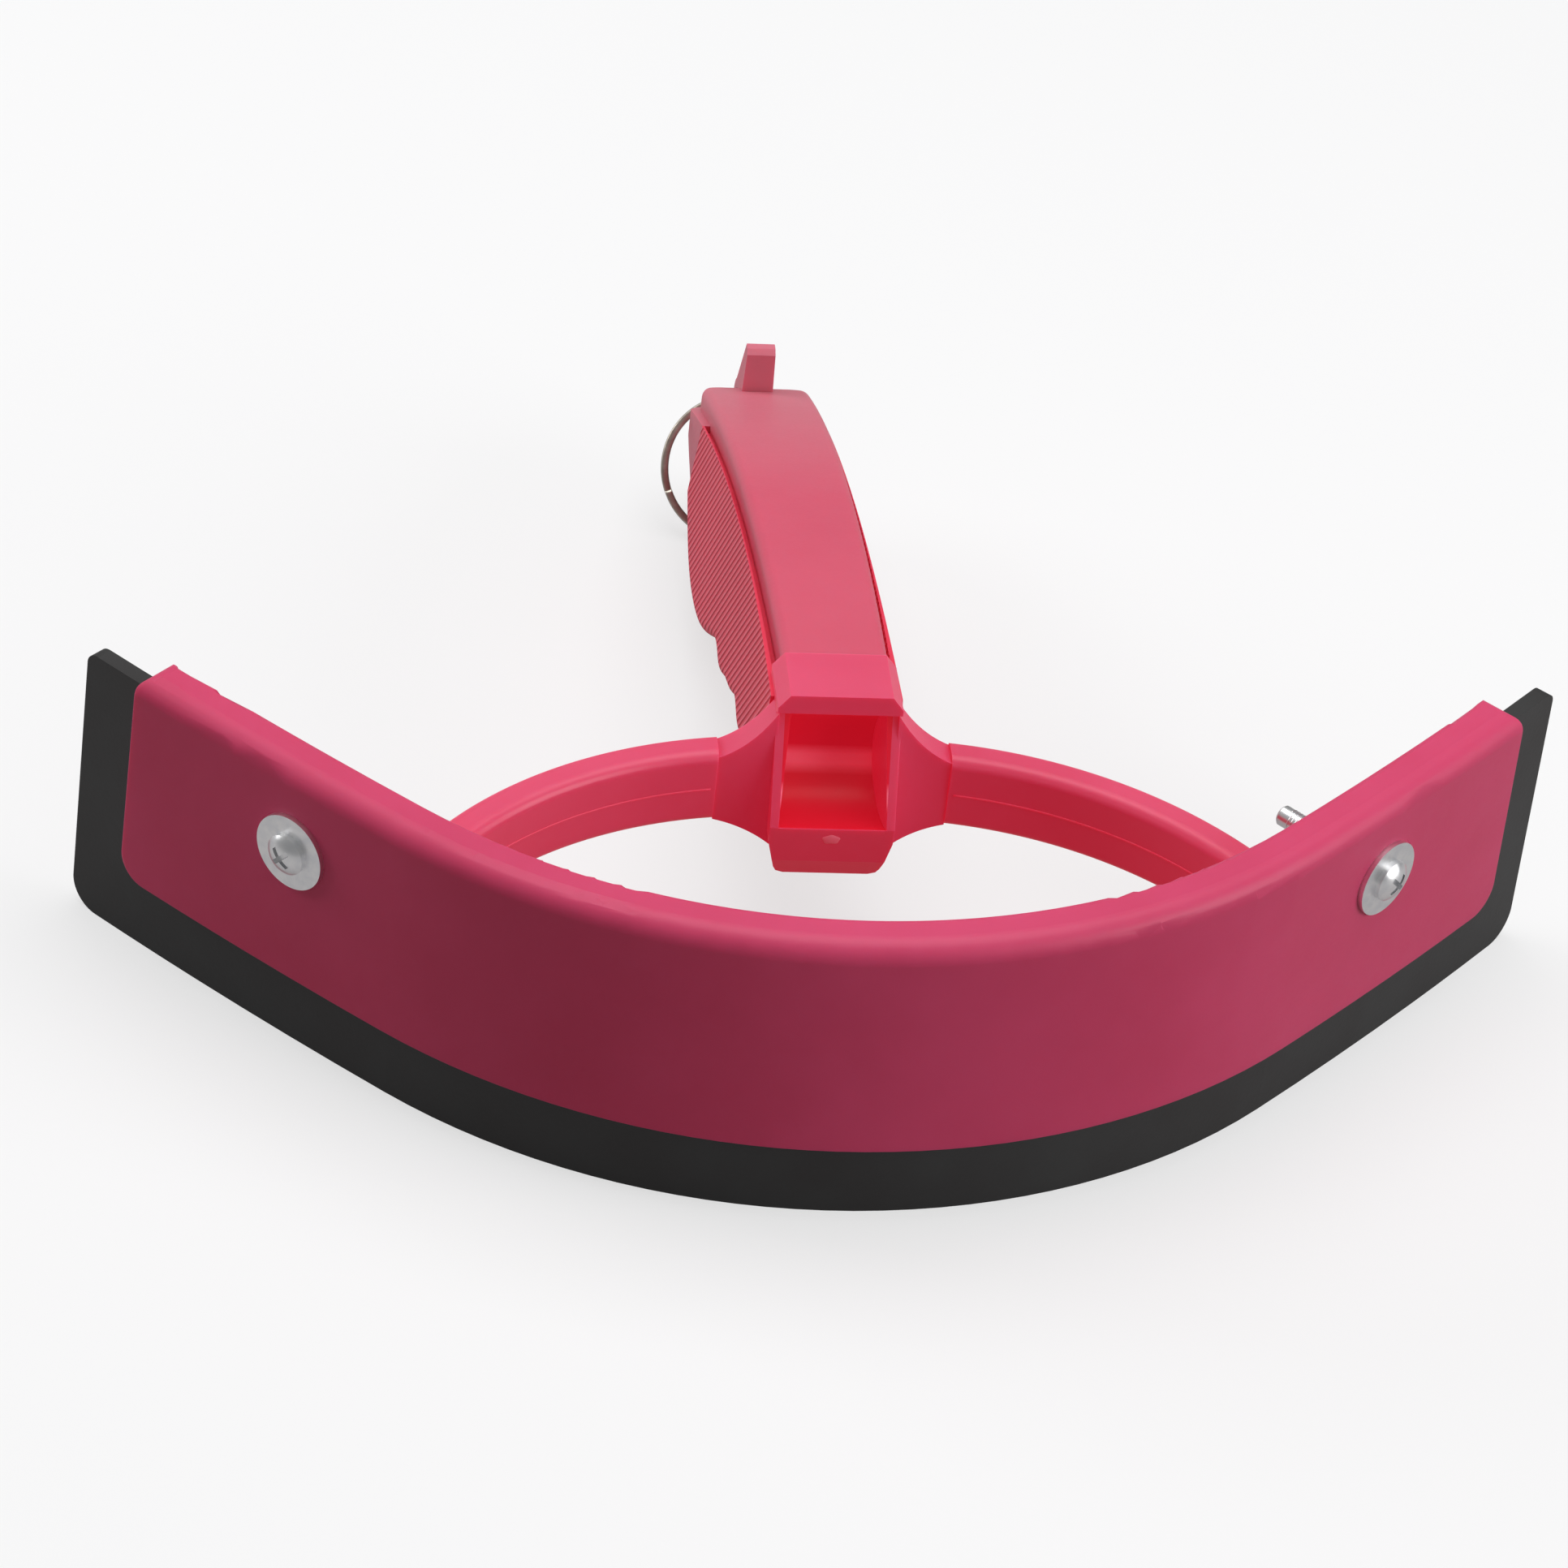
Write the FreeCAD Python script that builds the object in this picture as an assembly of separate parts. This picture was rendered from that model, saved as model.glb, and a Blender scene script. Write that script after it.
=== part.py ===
import FreeCAD, Part
import math
import os

# Sweat scraper for horses: a curved two-legged holder with a rubber blade,
# a fork and hub behind it, and a pistol-shaped handle with a hanging ring.
# It stands on the rubber's lower edge, with the handle out behind it.
# Building frame: X across, handle towards +Y, Z up, rubber edge on Z = 0,
# Y = 0 at the middle of the holder's front face. Each solid is saved with
# the origin moved to the bottom centre of the whole scraper.

os.makedirs("parts", exist_ok=True)
Vec = FreeCAD.Vector
UP = Vec(0, 0, 1)
SIDES = {"left": -1, "right": 1}

# Blade holder
NOSE_RADIUS = 126.0
NOSE_HALF_ARC = 90.0
WING_RADIUS = 990.0
HOLDER_HALF_ARC = 151.4
HOLDER_FLARE = 2.4
HOLDER_DEPTH = 9.0
HOLDER_WALL = 2.8
HOLDER_LOW = 16.6
HOLDER_HIGH = 62.7
SLOT_TOP = 59.3
SLOT_LOW = HOLDER_LOW - 5.0
FRONT_ROUND = 4.0
REAR_ROUND = 1.4
HOLDER_LOW_CORNER = 5.5
HOLDER_TOP_CORNER = 3.0

# Rubber blade
RUBBER_HALF_ARC = 166.4
RUBBER_FLARE = 2.6
RUBBER_GAP = 0.1
RUBBER_LOW_CORNER = 6.0
RUBBER_TOP_CORNER = 2.5

# Clamping screws
SCREW_ARC = 112.4
SCREW_HEIGHT = 45.4
SEAT_SINK = 0.1
SEAT_RADIUS = 7.9
HOLE_RADIUS = 2.15
WASHER_RADIUS = 7.5
WASHER_THICK = 1.0
SHANK_RADIUS = 2.0
SHANK_LENGTH = 25.0
SHANK_CHAMFER = 0.4
HEAD_RADIUS = 4.0
HEAD_RIM = 1.0
HEAD_HEIGHT = 2.6
RECESS_SPAN = 4.4
RECESS_WIDTH = 0.9
RECESS_DEPTH = 1.4
NUT_FLATS = 7.0
NUT_THICK = 3.2
NUT_BORE = 2.03

# Fork arms
ARM_CENTRE_X = 10.5
ARM_CENTRE_Y = -6.5
ARM_RADIUS = 78.0
ARM_THICK = 7.0
ARM_LOW = 37.4
ARM_HIGH = 52.8
ARM_ROOT_X = 21.5
ARM_REACH = 95.0
ARM_ROUND = 2.2

# Hub
HUB_HALF = 11.5
HUB_TOP_HALF = 9.4
HUB_TOP = 65.4
HUB_BEVEL_LOW = 62.6
HUB_REAR = 82.3
GUSSET_REAR = 75.0
HUB_FLOOR = 41.0
WING_WAIST = 0.68
TONGUE_LOW = 28.8
TONGUE_CUT = 30.7
TONGUE_HALF = 7.9
TONGUE_SIDE = 9.9
COLLAR_FRONT = 69.0
COLLAR_LOW = 61.4
RIM_TOP = (70.6, 60.7)
RIM_LOW = (61.6, 40.7)
POCKET_BACK = (76.6, 48.6)
POCKET_HALF = 10.0
POCKET_BACK_HALF = 7.2
SPIGOT_HALF = 6.6
SPIGOT_LOW = 45.0
SPIGOT_HIGH = 60.8
SPIGOT_REAR = 97.0

# Handle
SPINE_START_Z = 65.0
SPINE_SLOPE = -0.054
SPINE_RADIUS = 381.0
SPINE_HALF = 9.9
SPINE_TAPER = 0.0107
SPINE_ROUND = 2.0
END_ROUND = 4.5
END_HALF = 13.4
SHOULDER_DROP = 4.5
FLARE_BASE = 19.41
FLARE_PER_Z = 0.1
FLARE_PER_Y = 0.0157
GRIP_END = 203.0
HANDLE_END = 223.5
BELLY = [(66.0, 37.6), (82.3, 36.6), (94.0, 35.2), (101.0, 33.8), (107.5, 34.2),
         (115.0, 31.0), (123.0, 28.2), (130.0, 25.2), (136.5, 25.2), (146.5, 21.2),
         (157.5, 14.9), (170.0, 11.2), (182.0, 10.4), (192.0, 11.8), (203.0, 14.9),
         (213.0, 17.8), (219.5, 20.6), (HANDLE_END, 24.4)]
CORE_BELLY = [(HUB_REAR, 41.4), (107.0, 39.0), (137.0, 30.0), (157.0, 20.6),
              (178.0, 16.2), (193.0, 17.6), (GRIP_END, 20.4), (212.0, 23.0)]
CORE_WALL = 2.2
CAVITY_END = 211.0
GROOVE_WIDTH = 1.2
GROOVE_DEPTH = 1.6
BELLY_ROUND = 2.5

# Hanging lug and ring
LUG_FRONT = 219.5
LUG_TOP = 41.3
LUG_FLAT = 1.8
LUG_LOW = 25.6
LUG_HALF_LOW = 3.4
LUG_HALF_TOP = 2.9
EYE_Y = 225.9
EYE_Z = 25.0
EYE_RADIUS = 2.6
LUG_ROUND = 4.6
RING_RADIUS = 14.6
RING_OFFSET_X = -3.2
RING_LEAN = 34.5
RING_WIRE = 1.5
RING_WIDTH = 1.8
RING_SPLIT = 0.25

FAR = 60.0
MARGIN = 12.0
MIDDLE_Y = (EYE_Y + LUG_ROUND) / 2


def save(shape, node):
    shape.translate(Vec(0, -MIDDLE_Y, 0))
    shape.exportStep("parts/" + node + ".step")


def front_frame(arc, depth=0.0):
    """Point at an arc length along the front face, sunk by depth, with its heading."""
    nose_angle = NOSE_HALF_ARC / NOSE_RADIUS
    side = -1.0 if arc < 0 else 1.0
    run = abs(arc)
    if run <= NOSE_HALF_ARC:
        angle = run / NOSE_RADIUS
        x = NOSE_RADIUS * math.sin(angle)
        y = NOSE_RADIUS * (1 - math.cos(angle))
    else:
        angle = nose_angle + (run - NOSE_HALF_ARC) / WING_RADIUS
        x = NOSE_RADIUS * math.sin(nose_angle)
        x += WING_RADIUS * (math.sin(angle) - math.sin(nose_angle))
        y = NOSE_RADIUS * (1 - math.cos(nose_angle))
        y += WING_RADIUS * (math.cos(nose_angle) - math.cos(angle))
    x -= depth * math.sin(angle)
    y += depth * math.cos(angle)
    return Vec(side * x, y, 0), side * angle


def outline_edges(depth, half_arc):
    """Arcs of the plan curve at one depth, from the left end to the right end."""
    stops = [-half_arc, -NOSE_HALF_ARC, NOSE_HALF_ARC, half_arc]
    edges = []
    for start, end in zip(stops, stops[1:]):
        middle = (start + end) / 2
        points = [front_frame(arc, depth)[0] for arc in (start, middle, end)]
        edges.append(Part.Arc(*points).toShape())
    return edges


def band(near, far, half_arc, low, high):
    """Upright band that follows the plan curve between two depths."""
    near_edges = outline_edges(near, half_arc)
    far_edges = outline_edges(far, half_arc)
    ends = []
    for arc in (-half_arc, half_arc):
        ends.append(Part.makeLine(front_frame(arc, near)[0], front_frame(arc, far)[0]))
    loop = Part.Wire(Part.__sortEdges__(near_edges + far_edges + ends))
    face = Part.Face(loop)
    face.translate(Vec(0, 0, low))
    return face.extrude(Vec(0, 0, high - low))


def end_trim(side, half_arc, flare, low, high, low_corner, top_corner):
    """What lies outside the rounded, slightly flared end of a band."""
    span = 2 * FAR
    keep_points = [Vec(-FAR / 2, 0, low), Vec(flare, 0, low), Vec(0, 0, high), Vec(-FAR / 2, 0, high)]
    keep = Part.Face(Part.makePolygon(keep_points + keep_points[:1])).extrude(Vec(0, span, 0))
    for corner, radius in ((keep_points[1], low_corner), (keep_points[2], top_corner)):
        for edge in keep.Edges:
            middle = edge.CenterOfMass
            across = abs(middle.x - corner.x) + abs(middle.z - corner.z)
            if across < 1e-4 and edge.Length > span - 1:
                keep = keep.makeFillet(radius, [edge])
                break
    outside = Part.makeBox(FAR, span, high - low + 2 * MARGIN, Vec(-FAR / 2, 0, low - MARGIN))
    trim = outside.cut(keep)
    trim.translate(Vec(0, -FAR, 0))
    origin, angle = front_frame(half_arc)
    trim.rotate(Vec(0, 0, 0), UP, math.degrees(angle))
    trim.translate(origin)
    if side < 0:
        trim = trim.mirror(Vec(0, 0, 0), Vec(1, 0, 0))
    return trim


def trim_ends(shape, half_arc, flare, low, high, low_corner, top_corner):
    for side in SIDES.values():
        shape = shape.cut(end_trim(side, half_arc, flare, low, high, low_corner, top_corner))
    return shape


def screw_axis(side):
    """Point on the front face at a screw, and the direction into the holder."""
    origin, angle = front_frame(side * SCREW_ARC)
    origin.z = SCREW_HEIGHT
    return origin, Vec(-math.sin(angle), math.cos(angle), 0)


def disc(side, start, radius, length):
    origin, inward = screw_axis(side)
    return Part.makeCylinder(radius, length, origin + inward * start, inward)


def place_on_screw(shape, side, start):
    """Moves a shape built along +Z from Z = 0 onto a screw's axis."""
    origin, inward = screw_axis(side)
    shape.Placement = FreeCAD.Placement(origin + inward * start, FreeCAD.Rotation(UP, inward))
    return shape


def long_edges(shape, height, tolerance=1e-3):
    """Edges that lie at one height and run along the plan curve."""
    found = []
    for edge in shape.Edges:
        box = edge.BoundBox
        level = abs(box.ZMin - height) < tolerance and abs(box.ZMax - height) < tolerance
        if level and edge.Length > 2 * HOLDER_DEPTH:
            found.append(edge)
    return found


def nearest_front(edges, front):
    """The half of a band's long edges that lies on its front or on its rear."""
    ordered = sorted(edges, key=distance_from_front)
    half = len(ordered) // 2
    return ordered[:half] if front else ordered[half:]


def distance_from_front(edge):
    point = edge.valueAt((edge.FirstParameter + edge.LastParameter) / 2)
    line = Part.Wire(Part.__sortEdges__(outline_edges(0.0, HOLDER_HALF_ARC + MARGIN)))
    line.translate(Vec(0, 0, point.z))
    return line.distToShape(Part.Vertex(point))[0]


def make_holder():
    reach = HOLDER_HALF_ARC + MARGIN
    holder = band(0.0, HOLDER_DEPTH, reach, HOLDER_LOW, HOLDER_HIGH)
    front = nearest_front(long_edges(holder, HOLDER_HIGH), True)
    holder = holder.makeFillet(FRONT_ROUND, front)
    rear = nearest_front(long_edges(holder, HOLDER_HIGH), False)[-3:]
    holder = holder.makeFillet(REAR_ROUND, rear)
    slot = band(HOLDER_WALL, HOLDER_DEPTH - HOLDER_WALL, reach + MARGIN, SLOT_LOW, SLOT_TOP)
    holder = holder.cut(slot)
    holder = trim_ends(holder, HOLDER_HALF_ARC, HOLDER_FLARE, HOLDER_LOW, HOLDER_HIGH,
                       HOLDER_LOW_CORNER, HOLDER_TOP_CORNER)
    for side in SIDES.values():
        holder = holder.cut(disc(side, -MARGIN, SEAT_RADIUS, MARGIN + SEAT_SINK))
        holder = holder.cut(disc(side, HOLDER_DEPTH - SEAT_SINK, SEAT_RADIUS, MARGIN))
        holder = holder.cut(disc(side, -MARGIN, HOLE_RADIUS, HOLDER_DEPTH + 2 * MARGIN))
    return holder


def make_rubber():
    near = HOLDER_WALL + RUBBER_GAP
    rubber = band(near, HOLDER_DEPTH - near, RUBBER_HALF_ARC + MARGIN, 0.0, SLOT_TOP)
    rubber = trim_ends(rubber, RUBBER_HALF_ARC, RUBBER_FLARE, 0.0, SLOT_TOP,
                       RUBBER_LOW_CORNER, RUBBER_TOP_CORNER)
    for side in SIDES.values():
        rubber = rubber.cut(disc(side, -MARGIN, HOLE_RADIUS, HOLDER_DEPTH + 2 * MARGIN))
    return rubber


def make_washer(side, start):
    washer = disc(side, start, WASHER_RADIUS, WASHER_THICK)
    return washer.cut(disc(side, start - MARGIN, HOLE_RADIUS, 2 * MARGIN + WASHER_THICK))


def make_screw(side):
    dome_radius = (HEAD_RADIUS ** 2 + (HEAD_HEIGHT - HEAD_RIM) ** 2) / (2 * (HEAD_HEIGHT - HEAD_RIM))
    head = Part.makeCylinder(HEAD_RADIUS, HEAD_HEIGHT)
    dome = Part.makeSphere(dome_radius, Vec(0, 0, HEAD_HEIGHT - dome_radius))
    head = head.common(dome)
    recess_floor = HEAD_HEIGHT - RECESS_DEPTH
    for length, width in ((RECESS_SPAN, RECESS_WIDTH), (RECESS_WIDTH, RECESS_SPAN)):
        corner = Vec(-length / 2, -width / 2, recess_floor)
        head = head.cut(Part.makeBox(length, width, HEAD_HEIGHT, corner))
    head.rotate(Vec(0, 0, 0), Vec(1, 0, 0), 180)
    shank = Part.makeCylinder(SHANK_RADIUS, SHANK_LENGTH)
    tip = [edge for edge in shank.Edges if abs(edge.BoundBox.ZMin - SHANK_LENGTH) < 1e-3]
    shank = shank.makeChamfer(SHANK_CHAMFER, tip[:1])
    screw = head.fuse(shank).removeSplitter()
    return place_on_screw(screw, side, SEAT_SINK - WASHER_THICK)


def make_nut(side):
    corner = NUT_FLATS / math.sqrt(3)
    points = []
    for index in range(7):
        angle = math.radians(60 * index)
        points.append(Vec(corner * math.cos(angle), corner * math.sin(angle), 0))
    nut = Part.Face(Part.makePolygon(points)).extrude(Vec(0, 0, NUT_THICK))
    nut = nut.cut(Part.makeCylinder(NUT_BORE, NUT_THICK))
    return place_on_screw(nut, side, HOLDER_DEPTH - SEAT_SINK + WASHER_THICK)


def make_arm(side):
    centre = Vec(ARM_CENTRE_X, ARM_CENTRE_Y, ARM_LOW)
    height = ARM_HIGH - ARM_LOW
    arm = Part.makeCylinder(ARM_RADIUS + ARM_THICK / 2, height, centre)
    arm = arm.cut(Part.makeCylinder(ARM_RADIUS - ARM_THICK / 2, height, centre))
    for curve_height in (ARM_LOW, ARM_HIGH):
        rims = [edge for edge in arm.Edges if abs(edge.BoundBox.ZMin - curve_height) < 1e-3
                and abs(edge.BoundBox.ZMax - curve_height) < 1e-3]
        arm = arm.makeFillet(ARM_ROUND, rims)
    arm = arm.common(Part.makeBox(ARM_REACH, ARM_REACH, 2 * height, Vec(ARM_ROOT_X, MARGIN, ARM_LOW - MARGIN)))
    arm = arm.cut(band(-FAR, HOLDER_DEPTH, HOLDER_HALF_ARC, ARM_LOW - MARGIN, ARM_HIGH + MARGIN))
    arm = max(arm.Solids, key=lambda solid: solid.Volume)
    if side < 0:
        arm = arm.mirror(Vec(0, 0, 0), Vec(1, 0, 0))
    return arm


def upright_prism(points, half):
    """Closed outline in the YZ plane, thickened to +-half in X."""
    wire = Part.makePolygon([Vec(-half, y, z) for y, z in points + points[:1]])
    return Part.Face(wire).extrude(Vec(2 * half, 0, 0))


def side_section(x, points):
    return Part.makePolygon([Vec(x, y, z) for y, z in points + points[:1]])


def make_hub():
    side_outline = [(COLLAR_FRONT, HUB_TOP), (HUB_REAR, HUB_TOP), (HUB_REAR, HUB_FLOOR),
                    (GUSSET_REAR, HUB_FLOOR), (GUSSET_REAR, 35.5), (69.5, 29.6), (68.0, TONGUE_LOW),
                    (63.8, TONGUE_LOW), (62.0, 33.0), RIM_LOW, RIM_TOP, (COLLAR_FRONT, COLLAR_LOW)]
    block = upright_prism(side_outline, HUB_HALF + 0.4)
    front_outline = [(TONGUE_HALF, TONGUE_LOW), (TONGUE_SIDE - 0.6, TONGUE_LOW + 0.6),
                     (TONGUE_SIDE, TONGUE_CUT), (HUB_HALF, ARM_LOW),
                     (HUB_HALF, HUB_BEVEL_LOW), (HUB_TOP_HALF, HUB_TOP)]
    mirrored = [(-x, z) for x, z in reversed(front_outline)]
    loop = front_outline + mirrored + front_outline[:1]
    mask = Part.Face(Part.makePolygon([Vec(x, FAR - MARGIN, z) for x, z in loop]))
    block = block.common(mask.extrude(Vec(0, FAR, 0)))
    inner = [(64.4, 34.8), (69.6, 61.0), (GUSSET_REAR, 61.0), (GUSSET_REAR, 37.2), (72.0, 34.8)]
    outer = [(67.5, ARM_LOW + 0.5), (67.8, ARM_HIGH - 1.0), (73.6, ARM_HIGH - 1.0),
             (74.0, ARM_LOW + 2.0), (73.0, ARM_LOW + 0.5)]
    waist = [(y0 + (y1 - y0) * WING_WAIST, z0 + (z1 - z0) * WING_WAIST)
             for (y0, z0), (y1, z1) in zip(inner, outer)]
    for side in SIDES.values():
        root = side_section(side * (HUB_HALF - 0.5), inner)
        middle = side_section(side * (HUB_HALF + ARM_ROOT_X) / 2, waist)
        tip = side_section(side * ARM_ROOT_X, outer)
        block = block.fuse(Part.makeLoft([root, middle, tip], True, False))
    spigot = Part.makeBox(2 * SPIGOT_HALF, SPIGOT_REAR - HUB_REAR + 1.0, SPIGOT_HIGH - SPIGOT_LOW,
                          Vec(-SPIGOT_HALF, HUB_REAR - 1.0, SPIGOT_LOW))
    block = block.fuse(spigot)
    return block.cut(make_pocket()).removeSplitter()


def make_pocket():
    """Scoop behind the leaning rim: a round trough with drafted sides."""
    low = Vec(0, RIM_LOW[0], RIM_LOW[1])
    top = Vec(0, RIM_TOP[0], RIM_TOP[1])
    back = Vec(0, POCKET_BACK[0], POCKET_BACK[1])
    lean = (top - low).normalize()
    outward = Vec(0, -lean.z, lean.y) * MARGIN
    edges = [Part.Arc(low, back, top).toShape(), Part.makeLine(top, top + outward),
             Part.makeLine(top + outward, low + outward), Part.makeLine(low + outward, low)]
    face = Part.Face(Part.Wire(edges))
    face.translate(Vec(-FAR / 2, 0, 0))
    trough = face.extrude(Vec(FAR, 0, 0))
    rim_y = RIM_LOW[0]
    depth = HUB_REAR - rim_y
    slope = (POCKET_HALF - POCKET_BACK_HALF) / depth
    half_front = POCKET_HALF + slope * MARGIN
    plan = [Vec(-half_front, rim_y - MARGIN, 0), Vec(half_front, rim_y - MARGIN, 0),
            Vec(POCKET_BACK_HALF, HUB_REAR, 0), Vec(-POCKET_BACK_HALF, HUB_REAR, 0)]
    draft = Part.Face(Part.makePolygon(plan + plan[:1])).extrude(Vec(0, 0, HUB_TOP))
    return trough.common(draft)


def spine_centre():
    scale = math.hypot(1.0, SPINE_SLOPE)
    y = HUB_REAR + SPINE_RADIUS * SPINE_SLOPE / scale
    z = SPINE_START_Z - SPINE_RADIUS / scale
    return y, z


def spine_point(y, drop):
    centre_y, centre_z = spine_centre()
    radius = SPINE_RADIUS - drop
    return Vec(0, y, centre_z + math.sqrt(radius ** 2 - (y - centre_y) ** 2))


def spine_arc(start, end, drop):
    return Part.Arc(*[spine_point(y, drop) for y in (start, (start + end) / 2, end)]).toShape()


def smooth_curve(points):
    curve = Part.BSplineCurve()
    curve.interpolate([Vec(0, y, z) for y, z in points])
    return curve.toShape()


def side_profile(start, end, drop, floor_points):
    """Solid between the spine arc, sunk by drop, and a smooth lower curve."""
    floor = smooth_curve(floor_points)
    first = Vec(0, floor_points[0][0], floor_points[0][1])
    last = Vec(0, floor_points[-1][0], floor_points[-1][1])
    roof = spine_arc(first.y, last.y, drop)
    walls = [Part.makeLine(first, spine_point(first.y, drop)), Part.makeLine(last, spine_point(last.y, drop))]
    face = Part.Face(Part.Wire(Part.__sortEdges__([floor, roof] + walls)))
    face.translate(Vec(-FAR / 2, 0, 0))
    body = face.extrude(Vec(FAR, 0, 0))
    keep = Part.makeBox(2 * FAR, end - start, 2 * FAR, Vec(-FAR, start, -MARGIN))
    return body.common(keep)


def wedge(half_width):
    """Block whose half width is a linear function of y and z."""
    y_range = (HUB_REAR - 2 * MARGIN, HANDLE_END + 2 * MARGIN)
    z_range = (-MARGIN, HUB_TOP + MARGIN)
    corner = {}
    for side in (-1, 1):
        for y in y_range:
            for z in z_range:
                corner[side, y, z] = Vec(side * half_width(y, z), y, z)
    loops = []
    for side in (-1, 1):
        loops.append([(side, y_range[0], z_range[0]), (side, y_range[1], z_range[0]),
                      (side, y_range[1], z_range[1]), (side, y_range[0], z_range[1])])
    for y in y_range:
        loops.append([(-1, y, z_range[0]), (1, y, z_range[0]), (1, y, z_range[1]), (-1, y, z_range[1])])
    for z in z_range:
        loops.append([(-1, y_range[0], z), (1, y_range[0], z), (1, y_range[1], z), (-1, y_range[1], z)])
    faces = []
    for loop in loops:
        points = [corner[key] for key in loop]
        faces.append(Part.Face(Part.makePolygon(points + points[:1])))
    return Part.makeSolid(Part.makeShell(faces))


def flare(y, z):
    return FLARE_BASE - FLARE_PER_Z * z - FLARE_PER_Y * y


def spine_half(y, z):
    return SPINE_HALF + SPINE_TAPER * (y - HUB_REAR)


def cavity_half(y, z):
    return spine_half(y, z) - CORE_WALL


def groove_half(y, z):
    return spine_half(y, z) + GROOVE_WIDTH


def rounded_spine(body):
    """Rounds the two long top edges of the spine."""
    middle = (HUB_REAR + HANDLE_END) / 2
    limit = spine_point(middle, 2 * SHOULDER_DROP).z
    edges = []
    for edge in body.Edges:
        centre = edge.CenterOfMass
        if edge.BoundBox.YLength > FAR and centre.z > limit and abs(centre.x) > SPINE_HALF - 1:
            edges.append(edge)
    return body.makeFillet(SPINE_ROUND, edges)


def rounded_end(half_width):
    """Long block whose two upright rear edges are rounded."""
    start = HUB_REAR - MARGIN
    block = Part.makeBox(2 * half_width, HANDLE_END - start, 2 * FAR, Vec(-half_width, start, -MARGIN))
    edges = [edge for edge in block.Edges
             if edge.BoundBox.ZLength > FAR and edge.CenterOfMass.y > HANDLE_END - 1]
    return block.makeFillet(END_ROUND, edges)


def make_core():
    spine_wedge = wedge(spine_half)
    spine = side_profile(HUB_REAR, CORE_BELLY[-1][0], 0.0, CORE_BELLY).common(spine_wedge)
    cap = side_profile(CORE_BELLY[-1][0], HANDLE_END, 0.0, BELLY).common(spine_wedge)
    body = spine.fuse(cap).removeSplitter()
    body = rounded_spine(body).common(rounded_end(spine_half(HANDLE_END, 0)))
    end_block = side_profile(GRIP_END, HANDLE_END, SHOULDER_DROP, BELLY).common(rounded_end(END_HALF))
    end_block = end_block.common(wedge(flare))
    body = body.fuse(end_block)
    hollow_floor = [(y, z + CORE_WALL) for y, z in CORE_BELLY]
    hollow_floor[0] = (HUB_REAR - 1.0, hollow_floor[0][1])
    hollow = side_profile(HUB_REAR - 1.0, CAVITY_END, CORE_WALL, hollow_floor).common(wedge(cavity_half))
    body = body.cut(hollow)
    return body.fuse(make_lug()).cut(make_eye()).removeSplitter()


def make_lug():
    outline = [(LUG_FRONT, LUG_LOW), (LUG_FRONT, LUG_TOP - 1.0), (LUG_FRONT + 1.0, LUG_TOP),
               (LUG_FRONT + 1.0 + LUG_FLAT, LUG_TOP), (EYE_Y + LUG_ROUND, EYE_Z), (EYE_Y, EYE_Z)]
    lug = upright_prism(outline, LUG_HALF_LOW)
    boss = Part.makeCylinder(LUG_ROUND, 2 * LUG_HALF_LOW, Vec(-LUG_HALF_LOW, EYE_Y, EYE_Z), Vec(1, 0, 0))
    lug = lug.fuse(boss).removeSplitter()
    taper = [(LUG_HALF_LOW, EYE_Z - MARGIN), (LUG_HALF_LOW, EYE_Z), (LUG_HALF_TOP, LUG_TOP),
             (LUG_HALF_TOP, LUG_TOP + 1.0)]
    loop = taper + [(-x, z) for x, z in reversed(taper)] + taper[:1]
    mask = Part.Face(Part.makePolygon([Vec(x, LUG_FRONT - MARGIN, z) for x, z in loop]))
    return lug.common(mask.extrude(Vec(0, 2 * FAR, 0)))


def make_eye():
    return Part.makeCylinder(EYE_RADIUS, 2 * MARGIN, Vec(-MARGIN, EYE_Y, EYE_Z), Vec(1, 0, 0))


def make_sleeve():
    outer = side_profile(GUSSET_REAR, GRIP_END, SHOULDER_DROP, BELLY).common(wedge(flare))
    low_edges = [edge for edge in outer.Edges if edge.BoundBox.YLength > FAR
                 and edge.CenterOfMass.z < spine_point(140.0, SHOULDER_DROP).z - MARGIN
                 and abs(edge.CenterOfMass.x) > SPINE_HALF]
    outer = outer.makeFillet(BELLY_ROUND, low_edges)
    core = side_profile(HUB_REAR, CORE_BELLY[-1][0], 0.0, CORE_BELLY).common(wedge(spine_half))
    collar = Part.makeBox(2 * HUB_HALF, HUB_REAR - GUSSET_REAR + 1.0, FAR,
                          Vec(-HUB_HALF, GUSSET_REAR - 1.0, HUB_FLOOR))
    sleeve = outer.cut(core).cut(collar)
    groove = spine_groove()
    return sleeve.cut(groove)


def spine_groove():
    """Narrow channel beside the spine, along the top of the sleeve."""
    last = GRIP_END + 1.0
    stops = [HUB_REAR + (last - HUB_REAR) * share / 4 for share in range(5)]
    floor = [(y, spine_point(y, SHOULDER_DROP + GROOVE_DEPTH).z) for y in stops]
    return side_profile(HUB_REAR, GRIP_END + 1.0, 0.0, floor).common(wedge(groove_half))


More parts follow.
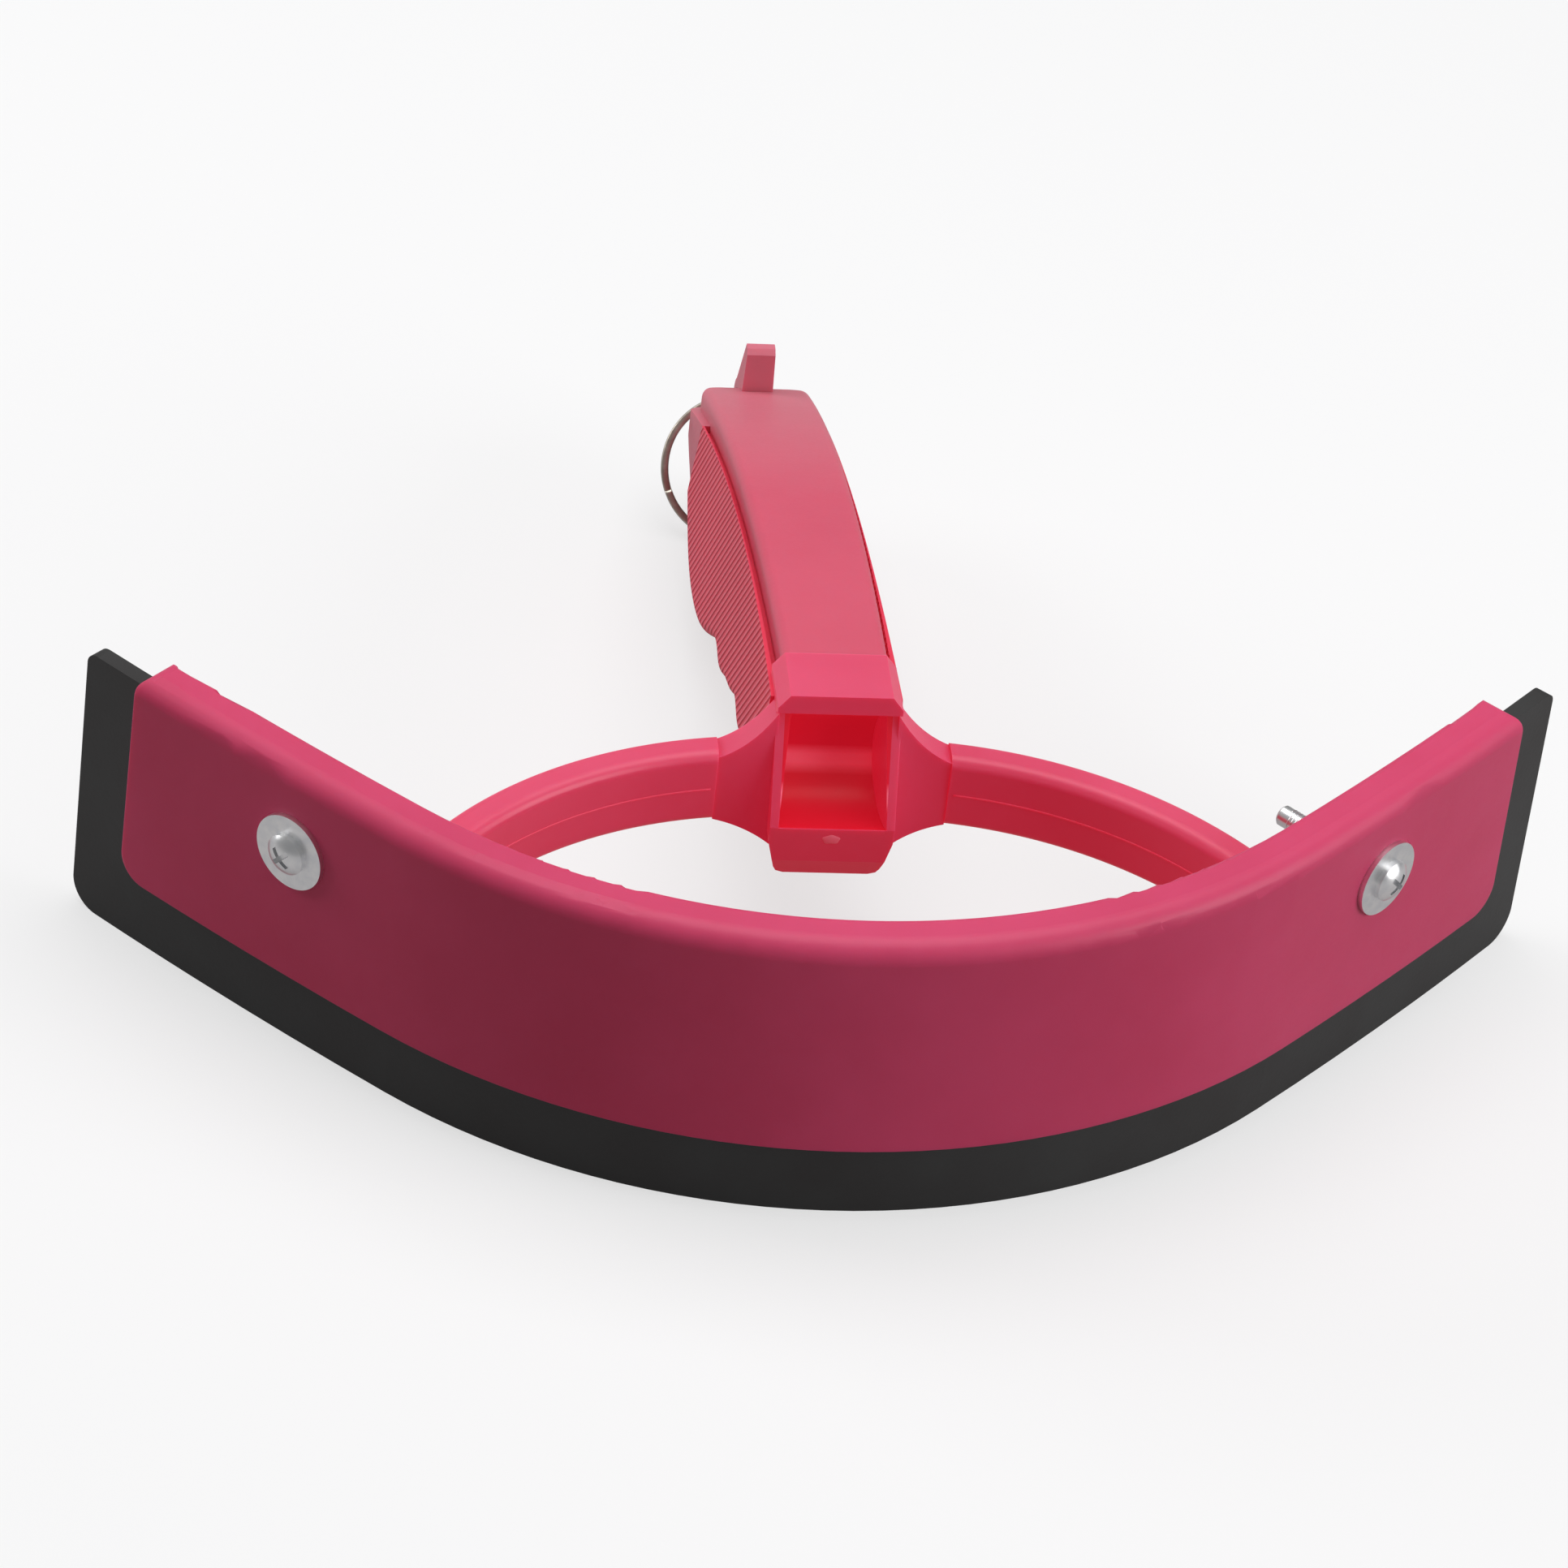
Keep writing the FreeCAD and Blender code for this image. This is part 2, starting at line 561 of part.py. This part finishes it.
def make_ring():
    half_wire = RING_WIRE / 2
    half_width = RING_WIDTH / 2
    section = [(-half_wire, -half_width), (half_wire, -half_width), (half_wire, -RING_SPLIT / 2),
               (half_wire - RING_SPLIT, 0.0), (half_wire, RING_SPLIT / 2), (half_wire, half_width),
               (-half_wire, half_width)]
    eye = Vec(0, EYE_Y, EYE_Z)
    centre = Vec(RING_OFFSET_X, EYE_Y, EYE_Z - math.sqrt(RING_RADIUS ** 2 - RING_OFFSET_X ** 2))
    points = [centre + Vec(RING_RADIUS + r, y, 0) for r, y in section + section[:1]]
    ring = Part.Face(Part.makePolygon(points)).revolve(centre, Vec(0, 1, 0), 360)
    ring.rotate(eye, Vec(1, 0, 0), -RING_LEAN)
    return ring


save(make_holder(), "blade_holder")
save(make_rubber(), "rubber_blade")
save(make_hub(), "hub_socket")
save(make_core(), "handle_core")
save(make_sleeve(), "grip_sleeve")
save(make_ring(), "split_ring")
for name, direction in SIDES.items():
    save(make_arm(direction), "fork_arm_" + name)
    save(make_washer(direction, SEAT_SINK - WASHER_THICK), "front_washer_" + name)
    save(make_washer(direction, HOLDER_DEPTH - SEAT_SINK), "rear_washer_" + name)
    save(make_screw(direction), "screw_" + name)
    save(make_nut(direction), "nut_" + name)
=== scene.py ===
import math

import bmesh
import bpy
from mathutils import Matrix, Vector


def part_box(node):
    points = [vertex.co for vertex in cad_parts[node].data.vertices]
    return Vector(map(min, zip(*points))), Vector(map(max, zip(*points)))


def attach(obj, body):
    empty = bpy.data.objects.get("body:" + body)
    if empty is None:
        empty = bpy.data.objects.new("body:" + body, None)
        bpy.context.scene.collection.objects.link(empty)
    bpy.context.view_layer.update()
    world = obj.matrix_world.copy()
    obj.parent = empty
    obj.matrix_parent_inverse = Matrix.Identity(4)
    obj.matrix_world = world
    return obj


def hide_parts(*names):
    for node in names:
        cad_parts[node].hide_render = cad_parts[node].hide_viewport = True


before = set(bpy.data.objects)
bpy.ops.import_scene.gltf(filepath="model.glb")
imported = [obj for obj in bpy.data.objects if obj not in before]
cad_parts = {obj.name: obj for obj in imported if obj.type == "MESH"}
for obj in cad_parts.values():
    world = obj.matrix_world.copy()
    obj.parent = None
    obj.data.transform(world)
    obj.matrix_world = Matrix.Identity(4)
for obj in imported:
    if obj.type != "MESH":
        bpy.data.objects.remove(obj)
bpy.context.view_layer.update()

# Sweat scraper for horses on a white table. The CAD pieces get their looks and soft edges here.
# Added pieces: the ring's two turns, the parting lines, the gate mark and the screw threads.
# Lengths are in metres, except where a name ends in _MM and for the scale of noise.

bpy.context.scene.view_settings.view_transform = "Standard"
SIDES = {"left": -1, "right": 1}

# Grip ribs: pitch along the handle, and lean towards the blade for each unit of height
RIB_PITCH_MM = 2.0
RIB_LEAN = 0.76
RIB_DEPTH = 0.00034
# Painted highlight on the rib crests: this share of the pale colour below is mixed in where the ribs stand
# up
RIB_HIGHLIGHT_SHARE = 0.5
RIB_PAINTED_HIGHLIGHT = (0.95, 0.25, 0.32, 1)
RIB_FACING = (0.85, 0.97)

# Hub pocket: the limits of its inside, and its painted light from bottom to top: deep red painted shade low
# and high, a pale painted highlight band between
POCKET_HALF_WIDTH = 0.0099
POCKET_FRONT_Y = -0.0533
POCKET_Z = (0.0385, 0.0604)
POCKET_MOST_SIDEWAYS = 0.6
POCKET_PAINTED_LIGHT_BANDS = [(0.0, (0.42, 0.008, 0.018)), (0.24, (0.40, 0.008, 0.02)), (0.32, (0.72, 0.24, 0.34)),
                (0.39, (0.72, 0.24, 0.34)), (0.47, (0.44, 0.010, 0.03)), (1.0, (0.40, 0.008, 0.02))]

# Spine: the stretch over which a painted pale sheen, standing in for grazing reflection, grows towards the
# hanging end
SPINE_SHEEN_Y = (0.03, 0.115)
SPINE_PAINTED_SHEEN = (0.56, 0.165, 0.215, 1)

# Painted red glow: emission standing in for light that travels inside the translucent plastic
PAINTED_GLOW_RED = (1.0, 0.012, 0.035, 1)

# Split ring: it hangs from the lug's eye, its foot leaning towards the blade
EYE = Vector((0, 0.11065, 0.025))
RING_RADIUS = 0.0146
RING_OFFSET_X = -0.0032
RING_LEAN = math.radians(-34.5)
RING_WIRE_DEPTH = 0.0015
RING_TURN_WIDTH = 0.00088
RING_START = math.radians(200)
RING_CROSSING = (0.47, 0.53)
RING_STEPS = 300

# Parting lines: arcs round each arm, by radius and swept degrees
PARTING_CENTRE_X = 0.0105
PARTING_CENTRE_Y = -0.12175
PARTING_Z = 0.0451
PARTING_START_DEGREES = 80.8
PARTING_STEPS = 48
PARTING_HALF_WIDTH = 0.00016
PARTING_HALF_HEIGHT = 0.0002
PARTING_ARCS = {"inner": (0.0745, 44.0), "outer": (0.0815, 41.0)}

# Gate mark on the hub
GATE_MIDDLE = Vector((0, -0.05346, 0.0383))
GATE_HALF_SIZE = Vector((0.0017, 0.0003, 0.0011))
GATE_LOBES = 5
GATE_SWELL = 0.08

# Screw threads: they start this far behind the middle of the nut
THREAD_RADIUS = 0.00192
THREAD_PITCH = 0.0007
THREAD_RIDGE = 0.00016
THREAD_START = 0.0018
THREAD_LENGTH = 0.0086
THREAD_STEPS_PER_TURN = 24

# Table: its colour to the eye, its colour to the light it throws back, and its own brightness
TABLE_HALF = 6.0
TABLE_SEEN = (0.28, 0.28, 0.283, 1)
TABLE_THROWN = (0.16, 0.15, 0.15, 1)
TABLE_LIFT = 0.62
TABLE_MIRRORED = 0.35

# Camera
AZIMUTH = math.radians(-7.247)
ELEVATION = math.radians(37.348)
ROLL = math.radians(5.858)
CAMERA_TARGET = Vector((-0.045136, -0.11525, 0.097452))
CAMERA_DISTANCE = 0.937666
CAMERA_LENS_MM = 128.71
CAMERA_SENSOR_MM = 36.0
CAMERA_SHIFT_X = 0.0958


# ---------------------------------------------------------------- materials

class Paint:
    """A material's node tree, with short ways to add nodes to it."""

    def __init__(self, name):
        self.material = bpy.data.materials.new(name)
        self.material.use_nodes = True
        self.nodes = self.material.node_tree.nodes
        self.links = self.material.node_tree.links
        self.shader = self.nodes["Principled BSDF"].inputs

    def connect(self, value, socket):
        """Feeds a socket from another node or from a plain value."""
        if isinstance(value, bpy.types.NodeSocket):
            self.links.new(value, socket)
        else:
            socket.default_value = value

    def noise(self, scale, detail):
        """Noise in the object's coordinates, with its scale per millimetre."""
        coords = self.nodes.new("ShaderNodeTexCoord")
        mapping = self.nodes.new("ShaderNodeMapping")
        mapping.inputs["Scale"].default_value = (1000, 1000, 1000)
        texture = self.nodes.new("ShaderNodeTexNoise")
        texture.inputs["Scale"].default_value = scale
        texture.inputs["Detail"].default_value = detail
        self.links.new(coords.outputs["Object"], mapping.inputs["Vector"])
        self.links.new(mapping.outputs["Vector"], texture.inputs["Vector"])
        return texture.outputs["Fac"]

    def axis(self, source, letter):
        """One axis of the Object coordinates or of the Normal."""
        coords = self.nodes.new("ShaderNodeTexCoord")
        split = self.nodes.new("ShaderNodeSeparateXYZ")
        self.links.new(coords.outputs[source], split.inputs["Vector"])
        return split.outputs[letter]

    def sideways(self):
        """How far the surface faces left or right, from 0 to 1."""
        return self.calculate("ABSOLUTE", self.axis("Normal", "X"))

    def calculate(self, operation, first, second=0.0):
        step = self.nodes.new("ShaderNodeMath")
        step.operation = operation
        self.connect(first, step.inputs[0])
        self.connect(second, step.inputs[1])
        return step.outputs["Value"]

    def rescale(self, value, old=(0.0, 1.0), new=(0.0, 1.0)):
        node = self.nodes.new("ShaderNodeMapRange")
        node.inputs["From Min"].default_value, node.inputs["From Max"].default_value = old
        node.inputs["To Min"].default_value, node.inputs["To Max"].default_value = new
        self.links.new(value, node.inputs["Value"])
        return node.outputs["Result"]

    def ramp(self, factor, stops):
        node = self.nodes.new("ShaderNodeValToRGB")
        elements = node.color_ramp.elements
        while len(elements) < len(stops):
            elements.new(0.5)
        for element, (position, colour) in zip(elements, stops):
            element.position = position
            element.color = (*colour, 1)
        self.links.new(factor, node.inputs["Fac"])
        return node.outputs["Color"]

    def mix(self, factor, first, second):
        node = self.nodes.new("ShaderNodeMix")
        node.data_type = "RGBA"
        self.connect(factor, node.inputs["Factor"])
        self.connect(first, node.inputs["A"])
        self.connect(second, node.inputs["B"])
        return node.outputs["Result"]

    def tint(self, factor, colour):
        """Mixes a colour into the base colour that is linked already."""
        base = self.shader["Base Color"]
        self.links.new(self.mix(factor, base.links[0].from_socket, colour), base)

    def add_bump(self, height, strength, distance):
        """Puts a bump on top of those that are linked already."""
        normal = self.shader["Normal"]
        bump = self.nodes.new("ShaderNodeBump")
        bump.inputs["Strength"].default_value = strength
        bump.inputs["Distance"].default_value = distance
        self.links.new(height, bump.inputs["Height"])
        if normal.is_linked:
            self.links.new(normal.links[0].from_socket, bump.inputs["Normal"])
        self.links.new(bump.outputs["Normal"], normal)


def plastic(name, colour, deep, roughness, scatter, painted_glow):
    """Translucent moulded plastic: soft colour drift, fine moulding grain, and a painted red glow that
    stands in for light travelling inside.
    """
    paint = Paint(name)
    drift = paint.noise(scale=0.03, detail=3)
    grain = paint.noise(scale=1.6, detail=4)
    wave = paint.noise(scale=0.09, detail=2)
    paint.connect(paint.ramp(drift, [(0.3, deep), (0.7, colour)]), paint.shader["Base Color"])
    paint.add_bump(grain, strength=0.12, distance=0.0001)
    paint.add_bump(wave, strength=0.25, distance=0.0006)
    rough = paint.rescale(grain, new=(roughness - 0.05, roughness + 0.06))
    paint.connect(rough, paint.shader["Roughness"])
    paint.shader["Subsurface Weight"].default_value = scatter
    paint.shader["Subsurface Radius"].default_value = (1.0, 0.2, 0.3)
    paint.shader["Subsurface Scale"].default_value = 0.004
    paint.shader["IOR"].default_value = 1.49
    paint.shader["Specular IOR Level"].default_value = 0.3
    # Painted glow: red emission in place of light travelling through the plastic
    paint.shader["Emission Color"].default_value = PAINTED_GLOW_RED
    paint.shader["Emission Strength"].default_value = painted_glow
    return paint


def grip_plastic(name, colour, deep):
    """The grip: pink plastic with slanting ribs pressed into its two sides, their crests lighter by a
    painted highlight.
    """
    paint = plastic(name, colour, deep, roughness=0.46, scatter=0.3, painted_glow=0.05)
    angle_per_metre = 1000 * 2 * math.pi / RIB_PITCH_MM
    along = paint.calculate("MULTIPLY", paint.axis("Object", "Y"), angle_per_metre)
    lean = paint.calculate("MULTIPLY", paint.axis("Object", "Z"), angle_per_metre * RIB_LEAN)
    wave = paint.calculate("SINE", paint.calculate("ADD", along, lean))
    height = paint.calculate("MULTIPLY", wave, paint.rescale(paint.sideways(), old=RIB_FACING))
    paint.add_bump(height, strength=1.0, distance=RIB_DEPTH)
    # Painted highlight on the rib crests
    paint.tint(paint.calculate("MULTIPLY", height, RIB_HIGHLIGHT_SHARE), RIB_PAINTED_HIGHLIGHT)
    return paint


def socket_plastic(name, colour, deep, painted_glow):
    """The hub: pink plastic, with deep red painted shade low and high in its pocket and a pale painted
    highlight band between.
    """
    paint = plastic(name, colour, deep, roughness=0.34, scatter=0.45, painted_glow=painted_glow)
    across = paint.calculate("ABSOLUTE", paint.axis("Object", "X"))
    along = paint.axis("Object", "Y")
    height = paint.axis("Object", "Z")
    painted_pocket_mask = paint.calculate("LESS_THAN", across, POCKET_HALF_WIDTH)
    for test, value, limit in (("LESS_THAN", paint.sideways(), POCKET_MOST_SIDEWAYS),
                               ("GREATER_THAN", along, POCKET_FRONT_Y),
                               ("GREATER_THAN", height, POCKET_Z[0]),
                               ("LESS_THAN", height, POCKET_Z[1])):
        painted_pocket_mask = paint.calculate("MULTIPLY", painted_pocket_mask, paint.calculate(test, value, limit))
    # Paints shade and a highlight band into the pocket
    paint.tint(painted_pocket_mask, paint.ramp(paint.rescale(height, old=POCKET_Z), POCKET_PAINTED_LIGHT_BANDS))
    return paint


def spine_plastic(name, colour, deep):
    """The spine: pink plastic, paler and duller towards the hanging end by a painted sheen that stands in
    for grazing reflection.
    """
    paint = plastic(name, colour, deep, roughness=0.42, scatter=0.3, painted_glow=0.03)
    # Painted sheen towards the hanging end
    paint.tint(paint.rescale(paint.axis("Object", "Y"), old=SPINE_SHEEN_Y), SPINE_PAINTED_SHEEN)
    return paint


def rubber(name, colour, deep):
    """Dull black rubber with a fine grain."""
    paint = Paint(name)
    drift = paint.noise(scale=0.05, detail=3)
    paint.connect(paint.ramp(drift, [(0.35, deep), (0.7, colour)]), paint.shader["Base Color"])
    paint.add_bump(paint.noise(scale=1.1, detail=6), strength=0.25, distance=0.0001)
    paint.shader["Roughness"].default_value = 0.5
    paint.shader["Specular IOR Level"].default_value = 0.55
    return paint


def metal(name, colour, dull, roughness):
    """Metal with duller blotches and a fine grain."""
    paint = Paint(name)
    blotch = paint.noise(scale=0.5, detail=3)
    paint.connect(paint.ramp(blotch, [(0.35, dull), (0.65, colour)]), paint.shader["Base Color"])
    paint.add_bump(paint.noise(scale=2.2, detail=5), strength=0.12, distance=0.00008)
    paint.shader["Metallic"].default_value = 1
    paint.shader["Roughness"].default_value = roughness
    return paint


def table_white(name):
    """White table, bright to the eye and in reflections, that throws only a little light back up."""
    paint = Paint(name)
    ray = paint.nodes.new("ShaderNodeLightPath").outputs
    mirrored = paint.calculate("MULTIPLY", ray["Is Glossy Ray"], TABLE_MIRRORED)
    seen = paint.calculate("MAXIMUM", ray["Is Camera Ray"], mirrored)
    paint.connect(paint.mix(seen, TABLE_THROWN, TABLE_SEEN), paint.shader["Base Color"])
    paint.connect(paint.calculate("MULTIPLY", seen, TABLE_LIFT), paint.shader["Emission Strength"])
    paint.shader["Emission Color"].default_value = (1, 1, 1, 1)
    paint.shader["Roughness"].default_value = 1.0
    paint.shader["Specular IOR Level"].default_value = 0.0
    return paint


HOLDER_PINK = plastic("pink_holder", (0.58, 0.058, 0.148), (0.53, 0.046, 0.122),
                      roughness=0.44, scatter=0.25, painted_glow=0.03).material
HUB_PINK = plastic("pink_hub", (0.43, 0.075, 0.15), (0.38, 0.06, 0.125),
                   roughness=0.34, scatter=0.45, painted_glow=0.31).material
SCAR_PINK = plastic("pink_scar", (0.70, 0.26, 0.34), (0.60, 0.18, 0.26),
                    roughness=0.5, scatter=0.3, painted_glow=0.2).material
SOCKET_PINK = socket_plastic("pink_socket", (0.43, 0.075, 0.15), (0.38, 0.06, 0.125), painted_glow=0.31).material
SPINE_PINK = spine_plastic("pink_spine", (0.60, 0.095, 0.155), (0.56, 0.082, 0.138)).material
GRIP_PINK = grip_plastic("pink_grip", (0.78, 0.05, 0.10), (0.70, 0.04, 0.085)).material
BLACK = rubber("rubber_black", (0.022, 0.022, 0.022), (0.015, 0.013, 0.013)).material
ZINC = metal("zinc_plate", (0.90, 0.90, 0.90), (0.80, 0.81, 0.83), roughness=0.30).material
WIRE = metal("ring_wire", (0.62, 0.56, 0.49), (0.45, 0.40, 0.34), roughness=0.38).material


# -------------------------------------------------- finish of the CAD pieces

def dress(node, material):
    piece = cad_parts[node]
    piece.data.materials.clear()
    piece.data.materials.append(material)


def soften(node, width):
    """Rounds the crisp edges that a moulding never has."""
    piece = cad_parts[node]
    weld = piece.modifiers.new("weld", "WELD")
    weld.merge_threshold = 0.000002
    bevel = piece.modifiers.new("edge_round", "BEVEL")
    bevel.width = width
    bevel.segments = 3
    bevel.limit_method = "ANGLE"
    bevel.angle_limit = math.radians(28)
    bevel.use_clamp_overlap = True
    normals = piece.modifiers.new("even_normals", "WEIGHTED_NORMAL")
    normals.keep_sharp = True


dress("blade_holder", HOLDER_PINK)
dress("hub_socket", SOCKET_PINK)
dress("handle_core", SPINE_PINK)
dress("grip_sleeve", GRIP_PINK)
dress("rubber_blade", BLACK)
dress("split_ring", WIRE)
soften("blade_holder", 0.0011)
soften("hub_socket", 0.0008)
soften("handle_core", 0.0006)
soften("grip_sleeve", 0.0004)
for side in SIDES:
    dress("fork_arm_" + side, HUB_PINK)
    soften("fork_arm_" + side, 0.0005)
    for part in ("screw_", "front_washer_", "rear_washer_", "nut_"):
        dress(part + side, ZINC)


# ------------------------------------------------------------- added pieces

def add_piece(name, bm, material, body):
    """Turns the built mesh into a smooth piece that rides a body."""
    mesh = bpy.data.meshes.new(name)
    bm.to_mesh(mesh)
    bm.free()
    for polygon in mesh.polygons:
        polygon.use_smooth = True
    mesh.materials.append(material)
    piece = bpy.data.objects.new(name, mesh)
    bpy.context.collection.objects.link(piece)
    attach(piece, body)
    return piece


def sweep(path, section, top):
    """Tube along an open path. Section points are (across, up), and up lies as near top as it can."""
    bm = bmesh.new()
    rings = []
    for index, point in enumerate(path):
        before = path[max(index - 1, 0)]
        after = path[min(index + 1, len(path) - 1)]
        ahead = (after - before).normalized()
        across = ahead.cross(top).normalized()
        up = across.cross(ahead).normalized()
        rings.append([bm.verts.new(point + across * u + up * v) for u, v in section])
    size = len(section)
    for here, there in zip(rings, rings[1:]):
        for corner in range(size):
            other = (corner + 1) % size
            bm.faces.new((here[corner], here[other], there[other], there[corner]))
    bm.faces.new(list(reversed(rings[0])))
    bm.faces.new(rings[-1])
    bmesh.ops.recalc_face_normals(bm, faces=bm.faces)
    return bm


def rounded_section(half_wide, half_high, power, steps):
    """Outline of a wire: an ellipse at power 2, and nearer a rectangle above that."""
    points = []
    for step in range(steps):
        angle = 2 * math.pi * step / steps
        c, s = math.cos(angle), math.sin(angle)
        points.append((half_wide * math.copysign(abs(c) ** (2 / power), c),
                       half_high * math.copysign(abs(s) ** (2 / power), s)))
    return points


def smooth_step(share):
    share = min(max(share, 0), 1)
    return share * share * (3 - 2 * share)


def make_split_ring():
    """Two flat turns of wire, side by side, that cross over at one short step."""
    forward = Vector((0, math.cos(RING_LEAN), math.sin(RING_LEAN)))
    upward = Vector((0, -math.sin(RING_LEAN), math.cos(RING_LEAN)))
    drop = math.sqrt(RING_RADIUS ** 2 - RING_OFFSET_X ** 2)
    centre = EYE + Vector((RING_OFFSET_X, 0, 0)) - upward * drop
    crossing_start, crossing_end = RING_CROSSING
    path = []
    for step in range(RING_STEPS + 1):
        share = step / RING_STEPS
        angle = RING_START + share * 4 * math.pi
        crossed = smooth_step((share - crossing_start) / (crossing_end - crossing_start))
        across = Vector((RING_RADIUS * math.cos(angle), 0, 0))
        aside = forward * (RING_TURN_WIDTH / 2 * (2 * crossed - 1))
        path.append(centre + across + upward * (RING_RADIUS * math.sin(angle)) + aside)
    section = rounded_section(RING_WIRE_DEPTH / 2, RING_TURN_WIDTH / 2, power=4.0, steps=20)
    piece = add_piece("split_ring_turns", sweep(path, section, forward), WIRE, "ring")
    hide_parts("split_ring")


def make_parting_lines():
    """Fine raised line left where the two halves of the mould met, round each arm at mid height."""
    section = rounded_section(PARTING_HALF_WIDTH, PARTING_HALF_HEIGHT, power=2.0, steps=10)
    for side, sign in SIDES.items():
        for face, (radius, swept) in PARTING_ARCS.items():
            path = []
            for step in range(PARTING_STEPS + 1):
                angle = math.radians(PARTING_START_DEGREES - step * swept / PARTING_STEPS)
                path.append(Vector((sign * (PARTING_CENTRE_X + radius * math.cos(angle)),
                                    PARTING_CENTRE_Y + radius * math.sin(angle), PARTING_Z)))
            name = "parting_line_" + face + "_" + side
            piece = add_piece(name, sweep(path, section, Vector((0, 0, 1))), HUB_PINK, "scraper")


def make_gate_mark():
    """Small lobed scar where the plastic entered the mould, on the hub below the pocket's lip."""
    bm = bmesh.new()
    bmesh.ops.create_uvsphere(bm, u_segments=32, v_segments=16, radius=1.0)
    for vertex in bm.verts:
        x, y, z = vertex.co
        swell = 1.0 + GATE_SWELL * math.sin(GATE_LOBES * math.atan2(z, x))
        vertex.co = GATE_MIDDLE + GATE_HALF_SIZE * Vector((x * swell, y, z * swell))
    piece = add_piece("gate_mark", bm, SCAR_PINK, "scraper")


def box_middle(node):
    low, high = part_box(node)
    return (Vector(low) + Vector(high)) / 2


def make_threads():
    """Fine rolled thread on the free end of each screw, from the nut to just short of the tip."""
    section = rounded_section(THREAD_RIDGE, THREAD_RIDGE, power=2.0, steps=8)
    steps = int(THREAD_LENGTH / THREAD_PITCH * THREAD_STEPS_PER_TURN)
    for side in SIDES:
        nut = box_middle("nut_" + side)
        axis = (nut - box_middle("front_washer_" + side)).normalized()
        across = axis.cross(Vector((0, 0, 1))).normalized()
        upward = across.cross(axis).normalized()
        path = []
        for step in range(steps + 1):
            along = THREAD_LENGTH * step / steps
            angle = 2 * math.pi * along / THREAD_PITCH
            reach = THREAD_RADIUS * (across * math.cos(angle) + upward * math.sin(angle))
            path.append(nut + axis * (THREAD_START + along) + reach)
        piece = add_piece("screw_thread_" + side, sweep(path, section, axis), ZINC, "scraper")


make_split_ring()
make_parting_lines()
make_gate_mark()
make_threads()


# ------------------------------------------------------------ studio and view

def world_light(strength):
    world = bpy.data.worlds.new("studio")
    bpy.context.scene.world = world
    world.use_nodes = True
    background = world.node_tree.nodes["Background"]
    background.inputs["Color"].default_value = (1.0, 1.0, 1.0, 1)
    background.inputs["Strength"].default_value = strength


def area_light(name, place, target, size, power):
    data = bpy.data.lights.new(name, "AREA")
    data.shape = "RECTANGLE"
    data.size, data.size_y = size
    data.energy = power
    lamp = bpy.data.objects.new(name, data)
    bpy.context.collection.objects.link(lamp)
    lamp.location = place
    lamp.rotation_mode = "QUATERNION"
    lamp.rotation_quaternion = (Vector(target) - Vector(place)).to_track_quat("-Z", "Y")


def make_floor():
    mesh = bpy.data.meshes.new("floor")
    corners = [(x * TABLE_HALF, y * TABLE_HALF, 0) for x, y in ((-1, -1), (1, -1), (1, 1), (-1, 1))]
    mesh.from_pydata(corners, [], [(0, 1, 2, 3)])
    mesh.materials.append(table_white("floor_white").material)
    floor = bpy.data.objects.new("floor", mesh)
    bpy.context.collection.objects.link(floor)


def make_camera():
    back = Vector((math.sin(AZIMUTH) * math.cos(ELEVATION), -math.cos(AZIMUTH) * math.cos(ELEVATION),
                   math.sin(ELEVATION)))
    right = (-back).cross(Vector((0, 0, 1))).normalized()
    up = right.cross(-back)
    right_rolled = math.cos(ROLL) * right + math.sin(ROLL) * up
    up_rolled = -math.sin(ROLL) * right + math.cos(ROLL) * up
    data = bpy.data.cameras.new("camera")
    data.sensor_width = CAMERA_SENSOR_MM
    data.lens = CAMERA_LENS_MM
    data.shift_x = CAMERA_SHIFT_X
    data.clip_start, data.clip_end = 0.05, 50.0
    camera = bpy.data.objects.new("camera", data)
    bpy.context.collection.objects.link(camera)
    turn = Matrix((right_rolled, up_rolled, back)).transposed().to_4x4()
    camera.matrix_world = Matrix.Translation(CAMERA_TARGET + back * CAMERA_DISTANCE) @ turn
    bpy.context.scene.camera = camera


world_light(strength=0.25)
make_floor()
area_light("top_soft", place=(0.05, 0.15, 1.3), target=(0, 0, 0.03), size=(1.3, 1.0), power=13)
area_light("right_soft", place=(1.2, -0.6, 0.55), target=(0, 0, 0.04), size=(0.9, 0.8), power=11)
area_light("left_rear_soft", place=(-1.2, 0.6, 0.6), target=(0, 0.04, 0.03), size=(0.7, 0.7), power=9)
make_camera()
